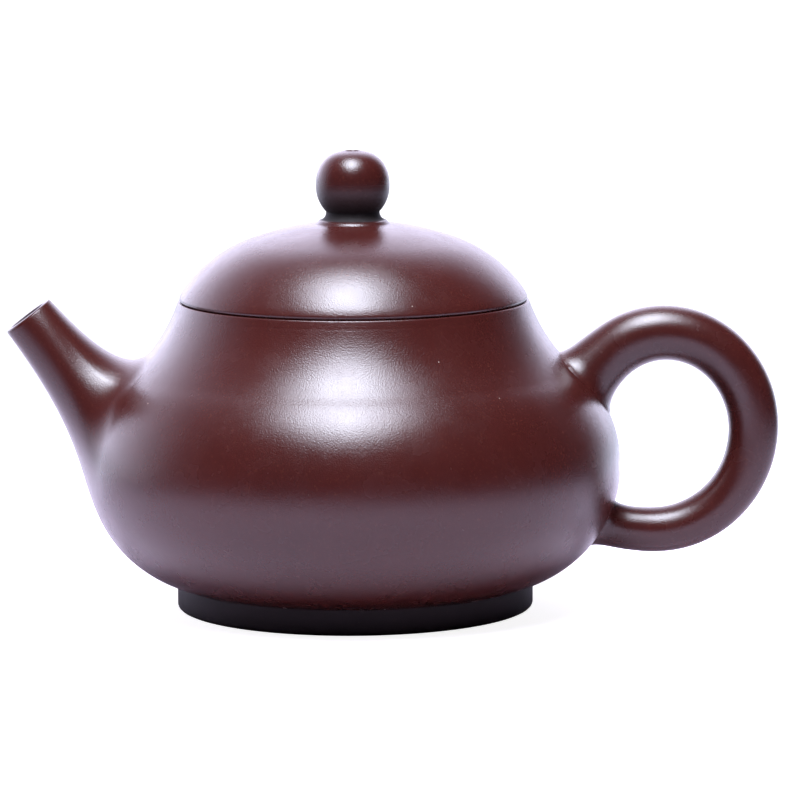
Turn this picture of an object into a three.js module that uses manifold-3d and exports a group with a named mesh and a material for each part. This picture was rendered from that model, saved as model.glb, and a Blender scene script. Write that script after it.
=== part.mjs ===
// Round yixing clay teapot whose lid is cut out of the body's own curve, so that lid and
// body make one flowing outline. Every piece of clay is its own mesh: the pieces are made
// apart, luted together with slip and fired as one, and only the lid stays loose.
//
// Millimetres, +Z up. The origin is the centre of the foot, in the plane it stands on.
// The spout points along -X and the handle along +X.

import * as THREE from 'three';
import { mergeVertices } from 'three/addons/utils/BufferGeometryUtils.js';
import Module from 'manifold-3d';

const wasm = await Module();
wasm.setup();

const DEG = Math.PI / 180;

// ---- Driving dimensions -------------------------------------------------------------

const WALL = 2.8; // thickness of the turned walls
const SLIP = 0.15; // layer of slip between two luted pieces
const CUT_GAP = 0.3; // gap left where a piece is cut to the curve of the body

// Outline of body and lid: arcs that run into each other without a corner.
const BELLY_RADIUS = 48; // half the greatest width
const BELLY_HEIGHT = 25.7; // height of the greatest width
const BELLY_CURVE = 21.8; // radius of the belly's arc
const BELLY_END = 48.9 * DEG; // normal angle at which the belly turns hollow
const HOLLOW_CURVE = 31.2; // radius of the hollow arc of the shoulder
const SEAM_HEIGHT = 55.5; // where the lid is cut from the body
const LID_EDGE_CURVE = 8.2; // radius of the lid's outermost arc
const LID_EDGE_END = 36 * DEG;
const LID_SIDE_CURVE = 24.9; // radius of the lid's side arc
const LID_SIDE_END = 70 * DEG;

const FOOT_RADIUS = 32.1;
const FOOT_HEIGHT = 4.7;
const FOOT_WIDTH = 4.4; // width of the ring the pot stands on
const FOOT_EDGE = 0.8; // bevel of the ring's lower edges

const BASE_THICKNESS = 2.6;
const SHOULDER_JOINT = 43.1; // height at which the shoulder is luted on the belly wall

const MOUTH_RADIUS = 26.2; // inside of the ring that stiffens the mouth
const MOUTH_DEPTH = 3.2;

const FLANGE_CLEARANCE = 0.3; // play between the lid's flange and the mouth
const FLANGE_WIDTH = 2;
const FLANGE_DEPTH = 7;
const SEAT_THICKNESS = 2; // flat ring under the lid that carries the flange

const VENT_RADIUS = 1.2; // air hole through knob and lid

const KNOB_RADIUS = 6.6;
const KNOB_HEIGHT = 76.05; // centre of the knob
const KNOB_CAP = 6.4; // from the knob's centre to its flattened top
const KNOB_CAP_POWER = 2.4; // how square the flattened top is
const KNOB_CAP_END = 80 * DEG; // where the flattened top becomes level
const NECK_RADIUS = 4.8;
const NECK_BASE_RADIUS = 6.5;
const NECK_BASE_THICKNESS = 0.8;

const SPOUT_TIP_X = -58.6;
const SPOUT_TIP_Z = 53.05;
const SPOUT_TIP_RADIUS = 4.8;
const SPOUT_BORE_RADIUS = 3.2;
const SPOUT_BORE_START = 1; // how far outside the rim the bore is begun
const SPOUT_BORE_END = 1; // how far below the outside of the wall it ends
const SPOUT_RIM_TILT = 53.4 * DEG; // the flat rim faces up and out at this angle
const SPOUT_TOP_SLOPE = 37.4 * DEG; // how steeply the upper edge leaves the tip
const SPOUT_UNDER_SLOPE = 54 * DEG;
const SPOUT_TOP_REACH = 2.3; // how far the edges keep those slopes
const SPOUT_UNDER_REACH = 25.2;
const SPOUT_ROOT_TOP = 46.7; // height at which the upper edge lies against the body
const SPOUT_ROOT_UNDER = 14.8;
const SPOUT_ROOT_WIDTH = 17; // half the root's width, across the pot
const SPOUT_ROOT_BLEND = 10.8; // how far the root is drawn out along the body
const SPOUT_TOP_BLEND = -2; // change of that along the top
const SPOUT_SIDE_BLEND = -3; // and along the sides
const SPOUT_SIDE_WIDENING = 0.25; // how fast the sides spread behind the tip

const FILTER_HEIGHT = 35.7; // where the ball filter sits in the wall
const FILTER_RADIUS = 6.8;
const FILTER_SHELL = 1.4;
const FILTER_SINK = 1.2; // how far its rim lies below the outside of the wall
const FILTER_COLLAR = 2.4; // straight part between rim and ball
const FILTER_DRILL_LENGTH = 16.8; // long enough to pass through the slanting wall
const FILTER_HOLE = 0.8; // radius of each strainer hole
const FILTER_ROWS = [1, 6, 11]; // holes in each row, from the ball's pole outwards
const FILTER_ROW_STEP = 27 * DEG;

// Control points of the handle's middle line, in the X-Z plane, from inside the shoulder
// round to the belly.
const HANDLE_LINE = [
  [36.5, 34.8], [48.6, 50.5], [64.6, 49.2], [73.5, 36.2], [70.6, 20.7], [57.5, 11.3],
  [38.6, 16.2],
];
const HANDLE_TOP_RADIUS = 5.3; // half the handle's thickness where it starts
const HANDLE_UNDER_RADIUS = 3.8; // and where it ends
const HANDLE_TOP_FLARE = 3.7; // extra radius at the upper root, most of it inside the wall
const HANDLE_FLARE_LENGTH = 0.17; // part of the line over which the root flares

// Facets
const TURN_STEPS = 48; // round the pot
const SMALL_TURN_STEPS = 32; // round the knob
const ARC_STEP = 9 * DEG; // along the outline
const KNOB_STEP = 12 * DEG; // up the knob
const NECK_STEPS = 4; // up the neck
const SPOUT_SIDES = 24;
const SPOUT_STEPS = 12;
const HANDLE_SIDES = 16;
const HANDLE_STEPS = 32;
const FILTER_SIDES = 20;
const HOLE_SIDES = 6;

// ---- Materials ----------------------------------------------------------------------

const clay = (name, colour, roughness) =>
  new THREE.MeshStandardMaterial({ name, color: colour, roughness, metalness: 0 });

const burnishedClay = clay('burnished_clay', 0x5a2828, 0.4);
const plainClay = clay('plain_clay', 0x5c302c, 0.75);
const footClay = clay('foot_clay', 0x2c1b1e, 0.6);

// ---- Outline ------------------------------------------------------------------------

// An arc is known by its centre, its signed radius and the angles of its outward normal.
// A hollow arc has a negative radius. An inset moves it inwards, along the normal.
function arcPoint(arc, angle, inset = 0) {
  const reach = arc.radius - inset;
  return new THREE.Vector2(arc.r + reach * Math.cos(angle), arc.z + reach * Math.sin(angle));
}

function arcPoints(arc, from, to, inset = 0) {
  const steps = Math.max(1, Math.ceil(Math.abs(to - from) / ARC_STEP));
  const points = [];
  for (let i = 0; i <= steps; i += 1) {
    points.push(arcPoint(arc, from + ((to - from) * i) / steps, inset));
  }
  return points;
}

function angleAt(arc, height, inset = 0) {
  return Math.asin((height - arc.z) / (arc.radius - inset));
}

// The arc that follows another one at the given angle, with the same tangent there.
function nextArc(arc, angle, radius) {
  const joint = arcPoint(arc, angle);
  return {
    r: joint.x - radius * Math.cos(angle),
    z: joint.y - radius * Math.sin(angle),
    radius,
  };
}

const belly = { r: BELLY_RADIUS - BELLY_CURVE, z: BELLY_HEIGHT, radius: BELLY_CURVE };
const hollow = nextArc(belly, BELLY_END, -HOLLOW_CURVE);
const SEAM_ANGLE = angleAt(hollow, SEAM_HEIGHT);
const lidEdge = nextArc(hollow, SEAM_ANGLE, LID_EDGE_CURVE);
const lidSide = nextArc(lidEdge, LID_EDGE_END, LID_SIDE_CURVE);
const crown = nextArc(lidSide, LID_SIDE_END, LID_SIDE_CURVE + lidSide.r / Math.cos(LID_SIDE_END));

// Radius of the body at a height below the seam.
function bodyRadius(height, inset = 0) {
  const turn = arcPoint(belly, BELLY_END, inset).y;
  const arc = height <= turn ? belly : hollow;
  return arcPoint(arc, angleAt(arc, height, inset), inset).x;
}

// Height of the lid's crown at a distance from the axis.
function crownHeight(radius, inset = 0) {
  return crown.z + Math.sqrt((crown.radius - inset) ** 2 - radius ** 2);
}

// ---- Solids -------------------------------------------------------------------------

// Turns a closed outline about +Z. It runs anticlockwise, with the radius to the right.
function turned(outline, steps = TURN_STEPS) {
  const geometry = new THREE.LatheGeometry(outline, steps);
  geometry.rotateX(Math.PI / 2);
  return geometry;
}

// Turns an outline given by [radius, height] corners, and closes it.
function turnedCorners(corners, steps = TURN_STEPS) {
  const outline = corners.map(([radius, height]) => new THREE.Vector2(radius, height));
  return turned([...outline, outline[0].clone()], steps);
}

// A skin drawn over the rings of a cylinder: surface(t, across, aside) gives the point at
// t along it, where across and aside are the cosine and sine of the angle round it.
function drawn(surface, sides, steps) {
  const geometry = new THREE.CylinderGeometry(1, 1, 1, sides, steps);
  const position = geometry.getAttribute('position');
  for (let i = 0; i < position.count; i += 1) {
    const t = 0.5 - position.getY(i);
    const across = position.getX(i);
    const aside = -position.getZ(i);
    const isCapCentre = Math.hypot(across, aside) < 0.5;
    const point = isCapCentre
      ? surface(t, 1, 0).lerp(surface(t, -1, 0), 0.5)
      : surface(t, across, aside);
    position.setXYZ(i, point.x, point.y, point.z);
  }
  return geometry;
}

function toSolid(geometry) {
  const bare = geometry.clone();
  bare.deleteAttribute('normal');
  bare.deleteAttribute('uv');
  const merged = mergeVertices(bare, 1e-4);
  const mesh = new wasm.Mesh({
    numProp: 3,
    vertProperties: new Float32Array(merged.getAttribute('position').array),
    triVerts: new Uint32Array(merged.getIndex().array),
  });
  mesh.merge();
  return new wasm.Manifold(mesh);
}

function toGeometry(solid) {
  const mesh = solid.getMesh();
  const geometry = new THREE.BufferGeometry();
  geometry.setAttribute('position', new THREE.BufferAttribute(mesh.vertProperties, 3));
  geometry.setIndex(new THREE.BufferAttribute(mesh.triVerts, 1));
  geometry.computeVertexNormals();
  return geometry;
}

// The whole outside of the body, grown by the cutting gap: what lies on it is cut with it.
function bodyCutter() {
  const start = angleAt(belly, FOOT_HEIGHT);
  return toSolid(turned([
    new THREE.Vector2(0, FOOT_HEIGHT),
    ...arcPoints(belly, start, BELLY_END, -CUT_GAP),
    ...arcPoints(hollow, BELLY_END, SEAM_ANGLE, -CUT_GAP),
    new THREE.Vector2(0, SEAM_HEIGHT),
  ]));
}

// ---- Fixed pieces -------------------------------------------------------------------

function footRing() {
  const inner = FOOT_RADIUS - FOOT_WIDTH;
  return turnedCorners([
    [inner, FOOT_EDGE],
    [inner + FOOT_EDGE, 0],
    [FOOT_RADIUS - FOOT_EDGE, 0],
    [FOOT_RADIUS, FOOT_EDGE],
    [FOOT_RADIUS, FOOT_HEIGHT],
    [inner, FOOT_HEIGHT],
  ]);
}

function baseDisc() {
  const top = FOOT_HEIGHT + BASE_THICKNESS;
  const radius = bodyRadius(top, WALL) - SLIP;
  return turned([
    new THREE.Vector2(0, FOOT_HEIGHT),
    new THREE.Vector2(radius, FOOT_HEIGHT),
    new THREE.Vector2(radius, top),
    new THREE.Vector2(0, top),
  ]);
}

// Places something made along +Z at the spout's hole, pointing into the pot.
function atFilter(object) {
  const angle = angleAt(belly, FILTER_HEIGHT);
  const inwards = new THREE.Vector3(Math.cos(angle), 0, -Math.sin(angle));
  const turn = new THREE.Quaternion().setFromUnitVectors(new THREE.Vector3(0, 0, 1), inwards);
  object.applyQuaternion(turn);
  object.translate(-bodyRadius(FILTER_HEIGHT), 0, FILTER_HEIGHT);
  return object;
}

function bellyWall() {
  const baseTop = FOOT_HEIGHT + BASE_THICKNESS;
  const inside = bodyRadius(baseTop, WALL);
  const outline = [
    ...arcPoints(belly, angleAt(belly, FOOT_HEIGHT), BELLY_END),
    ...arcPoints(hollow, BELLY_END, angleAt(hollow, SHOULDER_JOINT)).slice(1),
    ...arcPoints(hollow, angleAt(hollow, SHOULDER_JOINT, WALL), BELLY_END, WALL),
    ...arcPoints(belly, BELLY_END, angleAt(belly, baseTop, WALL), WALL).slice(1),
    new THREE.Vector2(inside, FOOT_HEIGHT),
  ];
  const wall = toSolid(turned([...outline, outline[0].clone()]));
  const drill = new THREE.CylinderGeometry(
    FILTER_RADIUS + SLIP, FILTER_RADIUS + SLIP, FILTER_DRILL_LENGTH, SPOUT_SIDES,
  );
  drill.rotateX(Math.PI / 2);
  return toGeometry(wall.subtract(toSolid(atFilter(drill))));
}

function shoulder() {
  const outline = [
    ...arcPoints(hollow, angleAt(hollow, SHOULDER_JOINT), SEAM_ANGLE),
    ...arcPoints(
      hollow,
      angleAt(hollow, SEAM_HEIGHT, WALL),
      angleAt(hollow, SHOULDER_JOINT, WALL),
      WALL,
    ),
  ];
  return turned([...outline, outline[0].clone()]);
}

function mouthRing() {
  const low = SEAM_HEIGHT - MOUTH_DEPTH;
  return turnedCorners([
    [MOUTH_RADIUS, low],
    [bodyRadius(low, WALL) - SLIP, low],
    [bodyRadius(SEAM_HEIGHT, WALL) - SLIP, SEAM_HEIGHT],
    [MOUTH_RADIUS, SEAM_HEIGHT],
  ]);
}

// ---- Spout --------------------------------------------------------------------------

// Skin of the spout, from the rim (t = 0) to a ring lying against the body (t = 1). Seen
// from the side its edges are Bezier curves that end along the body's own outline.
function spoutSkin({
  tipRadius, rootTop, rootUnder, rootWidth, blend, topBlend, sideBlend, inset, start,
}) {
  const rimUp = new THREE.Vector3(Math.sin(SPOUT_RIM_TILT), 0, Math.cos(SPOUT_RIM_TILT));
  const outwards = new THREE.Vector3(-Math.cos(SPOUT_RIM_TILT), 0, Math.sin(SPOUT_RIM_TILT));
  const tip = new THREE.Vector3(SPOUT_TIP_X, 0, SPOUT_TIP_Z).addScaledVector(outwards, start);
  const middle = (rootTop + rootUnder) / 2;
  const halfHeight = (rootTop - rootUnder) / 2;

  const rootPoint = (across, aside) => {
    const height = middle + halfHeight * across;
    const y = rootWidth * aside;
    return new THREE.Vector3(-Math.sqrt(bodyRadius(height, inset) ** 2 - y ** 2), y, height);
  };

  return (t, across, aside) => {
    const first = tip.clone()
      .addScaledVector(rimUp, tipRadius * across)
      .add(new THREE.Vector3(0, tipRadius * aside, 0));
    const upper = (1 + across) / 2;
    const slope = THREE.MathUtils.lerp(SPOUT_UNDER_SLOPE, SPOUT_TOP_SLOPE, upper);
    const reach = THREE.MathUtils.lerp(SPOUT_UNDER_REACH, SPOUT_TOP_REACH, upper);
    const widening = SPOUT_SIDE_WIDENING * aside;
    const second = first.clone().add(new THREE.Vector3(
      reach * Math.cos(slope), reach * widening, -reach * Math.sin(slope),
    ));
    const last = rootPoint(across, aside);
    const nudge = 1e-3;
    const away = rootPoint(across * (1 + nudge), aside * (1 + nudge)).sub(last).normalize();
    const pull = blend + topBlend * Math.max(0, across) ** 2 + sideBlend * aside ** 2;
    const third = last.clone().addScaledVector(away, -pull);
    return new THREE.CubicBezierCurve3(first, second, third, last).getPoint(t);
  };
}

function spout(cutter) {
  const outside = drawn(spoutSkin({
    tipRadius: SPOUT_TIP_RADIUS,
    rootTop: SPOUT_ROOT_TOP,
    rootUnder: SPOUT_ROOT_UNDER,
    rootWidth: SPOUT_ROOT_WIDTH,
    blend: SPOUT_ROOT_BLEND,
    topBlend: SPOUT_TOP_BLEND,
    sideBlend: SPOUT_SIDE_BLEND,
    inset: 0,
    start: 0,
  }), SPOUT_SIDES, SPOUT_STEPS);
  const bore = drawn(spoutSkin({
    tipRadius: SPOUT_BORE_RADIUS,
    rootTop: FILTER_HEIGHT + FILTER_RADIUS,
    rootUnder: FILTER_HEIGHT - FILTER_RADIUS,
    rootWidth: FILTER_RADIUS,
    blend: 0,
    topBlend: 0,
    sideBlend: 0,
    inset: SPOUT_BORE_END,
    start: SPOUT_BORE_START,
  }), SPOUT_SIDES, SPOUT_STEPS);
  return toGeometry(toSolid(outside).subtract(cutter).subtract(toSolid(bore)));
}

// Perforated ball that closes the spout's hole and bulges into the pot.
function spoutFilter() {
  const bulge = { r: 0, z: FILTER_SINK + FILTER_COLLAR, radius: FILTER_RADIUS };
  const shell = toSolid(turned([
    ...arcPoints(bulge, 90 * DEG, 0, FILTER_SHELL),
    new THREE.Vector2(FILTER_RADIUS - FILTER_SHELL, FILTER_SINK),
    new THREE.Vector2(FILTER_RADIUS, FILTER_SINK),
    ...arcPoints(bulge, 0, 90 * DEG),
  ], FILTER_SIDES));
  const holes = FILTER_ROWS.flatMap((count, row) => (
    Array.from({ length: count }, (_, i) => strainerHole(row * FILTER_ROW_STEP, (i + 0.5) / count))
  ));
  const strainer = holes.reduce((solid, hole) => solid.subtract(hole), shell);
  return atFilter(toGeometry(strainer));
}

// One hole through the ball, at an angle from its pole and a part of a turn round it.
function strainerHole(tilt, turn) {
  const drill = new THREE.CylinderGeometry(FILTER_HOLE, FILTER_HOLE, 2 * FILTER_SHELL, HOLE_SIDES);
  drill.rotateX(Math.PI / 2);
  drill.translate(0, 0, FILTER_RADIUS - FILTER_SHELL / 2);
  drill.rotateY(tilt);
  drill.rotateZ(turn * 2 * Math.PI);
  drill.translate(0, 0, FILTER_SINK + FILTER_COLLAR);
  return toSolid(drill);
}

// ---- Handle -------------------------------------------------------------------------

// Uniform cubic B-spline that starts and ends on the first and last control points.
class SmoothLine extends THREE.Curve {
  constructor(control) {
    super();
    const beyond = (end, next) => end.clone().multiplyScalar(2).sub(next);
    this.control = [
      beyond(control[0], control[1]),
      ...control,
      beyond(control.at(-1), control.at(-2)),
    ];
  }

  getPoint(t, target = new THREE.Vector3()) {
    const spans = this.control.length - 3;
    const span = Math.min(spans - 1, Math.floor(t * spans));
    const u = t * spans - span;
    const weights = [
      (1 - u) ** 3,
      3 * u ** 3 - 6 * u ** 2 + 4,
      -3 * u ** 3 + 3 * u ** 2 + 3 * u + 1,
      u ** 3,
    ];
    target.set(0, 0, 0);
    weights.forEach((weight, i) => {
      target.addScaledVector(this.control[span + i], weight / 6);
    });
    return target;
  }
}

function handle(cutter) {
  const line = new SmoothLine(HANDLE_LINE.map(([x, z]) => new THREE.Vector3(x, 0, z)));
  const skin = (t, across, aside) => {
    const tangent = line.getTangentAt(t);
    const outwards = new THREE.Vector3(-tangent.z, 0, tangent.x);
    const flare = HANDLE_TOP_FLARE * Math.max(0, 1 - t / HANDLE_FLARE_LENGTH) ** 2;
    const radius = THREE.MathUtils.lerp(HANDLE_TOP_RADIUS, HANDLE_UNDER_RADIUS, t) + flare;
    return line.getPointAt(t)
      .addScaledVector(outwards, radius * across)
      .add(new THREE.Vector3(0, radius * aside, 0));
  };
  return toGeometry(toSolid(drawn(skin, HANDLE_SIDES, HANDLE_STEPS)).subtract(cutter));
}

// ---- Lid ----------------------------------------------------------------------------

function lidDome() {
  const ventOutside = Math.acos(VENT_RADIUS / crown.radius);
  const ventInside = Math.acos(VENT_RADIUS / (crown.radius - WALL));
  const outline = [
    ...arcPoints(lidEdge, SEAM_ANGLE, LID_EDGE_END),
    ...arcPoints(lidSide, LID_EDGE_END, LID_SIDE_END).slice(1),
    ...arcPoints(crown, LID_SIDE_END, ventOutside).slice(1),
    ...arcPoints(crown, ventInside, LID_SIDE_END, WALL),
    ...arcPoints(lidSide, LID_SIDE_END, LID_EDGE_END, WALL).slice(1),
    ...arcPoints(lidEdge, LID_EDGE_END, angleAt(lidEdge, SEAM_HEIGHT, WALL), WALL).slice(1),
  ];
  return turned([...outline, outline[0].clone()]);
}

const FLANGE_RADIUS = MOUTH_RADIUS - FLANGE_CLEARANCE;
const FLANGE_INSIDE = FLANGE_RADIUS - FLANGE_WIDTH;

function lidSeatRing() {
  const top = SEAM_HEIGHT + SEAT_THICKNESS;
  const edgeRadius = (height) => (
    arcPoint(lidEdge, angleAt(lidEdge, height, WALL + SLIP), WALL + SLIP).x
  );
  return turnedCorners([
    [FLANGE_INSIDE, SEAM_HEIGHT],
    [edgeRadius(SEAM_HEIGHT), SEAM_HEIGHT],
    [edgeRadius(top), top],
    [FLANGE_INSIDE, top],
  ]);
}

function lidFlange() {
  return turnedCorners([
    [FLANGE_INSIDE, SEAM_HEIGHT - FLANGE_DEPTH],
    [FLANGE_RADIUS, SEAM_HEIGHT - FLANGE_DEPTH],
    [FLANGE_RADIUS, SEAM_HEIGHT],
    [FLANGE_INSIDE, SEAM_HEIGHT],
  ]);
}

// Half width of the ball above its lowest part; its upper half is a little squarer.
function knobRadius(height) {
  const above = height - KNOB_HEIGHT;
  if (above <= 0) {
    return Math.sqrt(KNOB_RADIUS ** 2 - above ** 2);
  }
  const part = 1 - (above / KNOB_CAP) ** KNOB_CAP_POWER;
  return KNOB_RADIUS * part ** (1 / KNOB_CAP_POWER);
}

function knob() {
  const bottomAngle = -Math.acos(NECK_RADIUS / KNOB_RADIUS);
  const bottom = KNOB_HEIGHT + KNOB_RADIUS * Math.sin(bottomAngle);
  const outline = [new THREE.Vector2(VENT_RADIUS, bottom)];
  for (let angle = bottomAngle; angle < KNOB_CAP_END; angle += KNOB_STEP) {
    const height = KNOB_HEIGHT + (angle < 0 ? KNOB_RADIUS : KNOB_CAP) * Math.sin(angle);
    outline.push(new THREE.Vector2(knobRadius(height), height));
  }
  outline.push(new THREE.Vector2(VENT_RADIUS, KNOB_HEIGHT + KNOB_CAP));
  return turned([...outline, outline[0].clone()], SMALL_TURN_STEPS);
}

// Short neck under the knob, with a thin flared base that lies on the lid's crown.
function knobNeck() {
  const top = KNOB_HEIGHT - Math.sqrt(KNOB_RADIUS ** 2 - NECK_RADIUS ** 2);
  const edge = crownHeight(NECK_BASE_RADIUS, -SLIP);
  const flare = new THREE.QuadraticBezierCurve(
    new THREE.Vector2(NECK_BASE_RADIUS, edge + NECK_BASE_THICKNESS),
    new THREE.Vector2(NECK_RADIUS, edge + 2 * NECK_BASE_THICKNESS),
    new THREE.Vector2(NECK_RADIUS, top),
  );
  return turned([
    new THREE.Vector2(VENT_RADIUS, crownHeight(VENT_RADIUS, -SLIP)),
    new THREE.Vector2(NECK_BASE_RADIUS, edge),
    ...flare.getPoints(NECK_STEPS),
    new THREE.Vector2(VENT_RADIUS, top),
    new THREE.Vector2(VENT_RADIUS, crownHeight(VENT_RADIUS, -SLIP)),
  ], SMALL_TURN_STEPS);
}

// ---- Assembly -----------------------------------------------------------------------

function piece(name, geometry, material) {
  const mesh = new THREE.Mesh(geometry, material);
  mesh.name = name;
  return mesh;
}

const cutter = bodyCutter();

const pot = new THREE.Group();
pot.add(
  piece('foot_ring', footRing(), footClay),
  piece('base_disc', baseDisc(), plainClay),
  piece('belly_wall', bellyWall(), burnishedClay),
  piece('shoulder', shoulder(), burnishedClay),
  piece('mouth_ring', mouthRing(), plainClay),
  piece('spout', spout(cutter), burnishedClay),
  piece('spout_filter', spoutFilter(), plainClay),
  piece('handle', handle(cutter), burnishedClay),
);

const lid = new THREE.Group();
lid.add(
  piece('lid_dome', lidDome(), burnishedClay),
  piece('lid_seat_ring', lidSeatRing(), plainClay),
  piece('lid_flange', lidFlange(), plainClay),
  piece('knob_neck', knobNeck(), burnishedClay),
  piece('knob', knob(), burnishedClay),
);

const teapot = new THREE.Group();
teapot.add(pot, lid);

export default teapot;
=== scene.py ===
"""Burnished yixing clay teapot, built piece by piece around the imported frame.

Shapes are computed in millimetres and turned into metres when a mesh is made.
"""
import math

import bpy
import numpy as np
from mathutils import Matrix, Vector


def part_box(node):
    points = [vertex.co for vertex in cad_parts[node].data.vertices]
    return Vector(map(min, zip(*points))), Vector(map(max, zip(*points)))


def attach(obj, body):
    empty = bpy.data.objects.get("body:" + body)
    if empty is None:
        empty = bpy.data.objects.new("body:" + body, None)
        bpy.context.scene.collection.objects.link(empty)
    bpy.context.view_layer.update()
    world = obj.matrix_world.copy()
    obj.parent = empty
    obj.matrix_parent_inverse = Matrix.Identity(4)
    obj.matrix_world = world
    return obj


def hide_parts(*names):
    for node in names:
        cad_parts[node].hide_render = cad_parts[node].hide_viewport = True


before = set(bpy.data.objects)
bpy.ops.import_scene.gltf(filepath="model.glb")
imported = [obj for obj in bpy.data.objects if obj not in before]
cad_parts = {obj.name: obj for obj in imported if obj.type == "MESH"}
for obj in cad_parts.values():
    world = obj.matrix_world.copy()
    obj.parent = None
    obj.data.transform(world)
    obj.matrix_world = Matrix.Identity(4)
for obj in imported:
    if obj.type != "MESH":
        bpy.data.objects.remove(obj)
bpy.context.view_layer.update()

MM = 0.001
DEG = math.pi / 180


def node_box(name):
    """Lowest and highest corner of a CAD node, in millimetres."""
    low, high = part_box(name)
    return np.array(low) / MM, np.array(high) / MM


# ---- Driving dimensions, in millimetres ------------------------------------------------

WALL = 2.8
SLIP = 0.15

BELLY_RADIUS = 48.0
BELLY_HEIGHT = 25.7
BELLY_CURVE = 21.8
BELLY_END = 48.9 * DEG
HOLLOW_CURVE = 31.2
LID_EDGE_CURVE = 8.2
LID_EDGE_END = 36 * DEG
LID_SIDE_CURVE = 24.9
LID_SIDE_END = 70 * DEG

FOOT_TOP = node_box("foot_ring")[1][2]
FOOT_RADIUS = node_box("foot_ring")[1][0]
BASE_TOP = node_box("base_disc")[1][2]
JOINT_HEIGHT = node_box("shoulder")[0][2]
SEAM_HEIGHT = node_box("lid_dome")[0][2]
FLANGE_LOW = node_box("lid_flange")[0][2]
FLANGE_RADIUS = node_box("lid_flange")[1][0]
SEAT_TOP = node_box("lid_seat_ring")[1][2]
MOUTH_LOW = node_box("mouth_ring")[0][2]
KNOB_TOP = node_box("knob")[1][2]

FOOT_WIDTH = 4.4
FLANGE_WIDTH = 2.0
MOUTH_RADIUS = 26.2

VENT_RADIUS = 1.2
VENT_FLARE = 0.2
KNOB_RADIUS = 6.6
KNOB_HEIGHT = 76.05
KNOB_CAP = 6.4
KNOB_CAP_POWER = 2.4
KNOB_CAP_END = 78 * DEG
NECK_RADIUS = 4.8
NECK_BASE_RADIUS = 6.8
NECK_BASE_THICKNESS = 0.65
NECK_FLARE = 0.3
NECK_RING_EDGE = 0.9

SPOUT_TIP = (-58.6, 53.05)
SPOUT_TIP_RADIUS = 4.8
SPOUT_BORE_RADIUS = 3.2
SPOUT_RIM_TILT = 53.4 * DEG
SPOUT_TOP_SLOPE = 37.4 * DEG
SPOUT_UNDER_SLOPE = 54 * DEG
SPOUT_TOP_REACH = 2.3
SPOUT_UNDER_REACH = 25.2
SPOUT_ROOT_TOP = 46.7
SPOUT_ROOT_UNDER = 14.8
SPOUT_ROOT_WIDTH = 17
SPOUT_ROOT_BLEND = 10.8
SPOUT_TOP_BLEND = -2
SPOUT_SIDE_BLEND = -3
SPOUT_SIDE_WIDENING = 0.25
SPOUT_ROOT_SINK = 0.04

FILTER_HEIGHT = 35.7
FILTER_RADIUS = 6.8
FILTER_SHELL = 1.4
FILTER_SINK = 1.2
FILTER_COLLAR = 2.4
FILTER_HOLE = 0.8
FILTER_ROWS = (1, 6, 11)
FILTER_ROW_STEP = 27 * DEG

# Control points of the handle's middle line, from the upper root to the lower one.
HANDLE_LINE = (
    (36.5, 34.8), (48.6, 50.5), (64.6, 49.2), (73.5, 36.2), (70.6, 20.7), (57.5, 11.3),
    (38.6, 16.2),
)
HANDLE_TOP_RADIUS = 5.3
HANDLE_UNDER_RADIUS = 3.8
HANDLE_TOP_FLARE = 3.7
HANDLE_FLARE_LENGTH = 0.17
LUTING_REACH = 4.0
LUTING_PART = 0.22

# Fillets
FOOT_EDGE = 0.8
BASE_EDGE = 0.3
MOUTH_EDGE = 0.4
SEAT_EDGE = 0.4
FLANGE_EDGE = 0.5
SLIGHT_EDGE = 0.1
SHOULDER_RIM_EDGE = 0.3
LID_RIM_EDGE = 0.6
SPOUT_RIM_EDGE = 0.6
KNOB_LIP_SINK = 0.25

# Fineness of the meshes
TURN_STEPS = 192
SMALL_TURN_STEPS = 96
OUTLINE_STEP = 0.6
INSIDE_STEP = 1.5
LID_EDGE_STEP = 0.3
FINE_STEP = 0.08
SPOUT_SIDES = 128
SPOUT_STEPS = 80
BORE_STEPS = 40
ROOT_STEPS = 12
FILTER_SIDES = 72
FILTER_STEP = 0.3
HOLE_SIDES = 24
HANDLE_SIDES = 96
HANDLE_STEPS = 240
KNOB_STEPS = 60
KNOB_LIP_STEPS = 8
NECK_RING_STEPS = 16
NECK_STEPS = 24
SHARP_ANGLE = 35 * DEG
# How close an outline comes to the axis, and its angle to the pole.
NEAR_AXIS = 0.01
NEAR_POLE = 0.002

# Rings that the potter's tools left on the outside: height, depth and half width.
TOOL_MARKS = (
    (43.1, 0.012, 0.5),
    (54.1, 0.012, 0.25),
)

# ---- Looks of the clay, in millimetres -------------------------------------------------

# The part of a noise's values that is spread over the whole scale.
NOISE_RANGE = (0.3, 0.7)
CLOUD_SIZE = 26
MINERAL_SIZE = 0.45
MINERAL_RANGE = (0.58, 0.8)
MINERAL_STRENGTH = 0.6
SPECK_STRENGTH = 0.8
PALE_SPACING, PALE_RADIUS, PALE_SHARE = 1.5, 0.11, 0.035
PIT_SPACING, PIT_RADIUS, PIT_SHARE, PIT_DEPTH = 2.3, 0.14, 0.03, 0.02
PATCH_SIZE = 5
PATCH_ROUGHNESS = 0.03
WAVE_SIZE, WAVE_DEPTH = 7, 0.02
STROKE_SIZE, STROKE_STRETCH = 0.9, (0.08, 0.08, 1)
GRAIN_SIZE = 0.24

PALE_GRAIN = (0.42, 0.34, 0.28)
PIT_COLOUR = (0.008, 0.004, 0.004)
# Painted shade: a dark colour and rougher clay, on the knob's lower half, the neck and the
# spout's bore.
PAINTED_SHADE_COLOUR = (0.010, 0.005, 0.005)
PAINTED_SHADE_ROUGHNESS = 0.75

# Heights, or distances outside the bore, over which painted shade fades into the burnished clay.
KNOB_PAINTED_SHADE_HEIGHTS = (71.8, 76.8)
NECK_PAINTED_SHADE_HEIGHTS = (70.15, 69.9)
BORE_PAINTED_SHADE_MARGINS = (0.1, 0.4)

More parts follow.
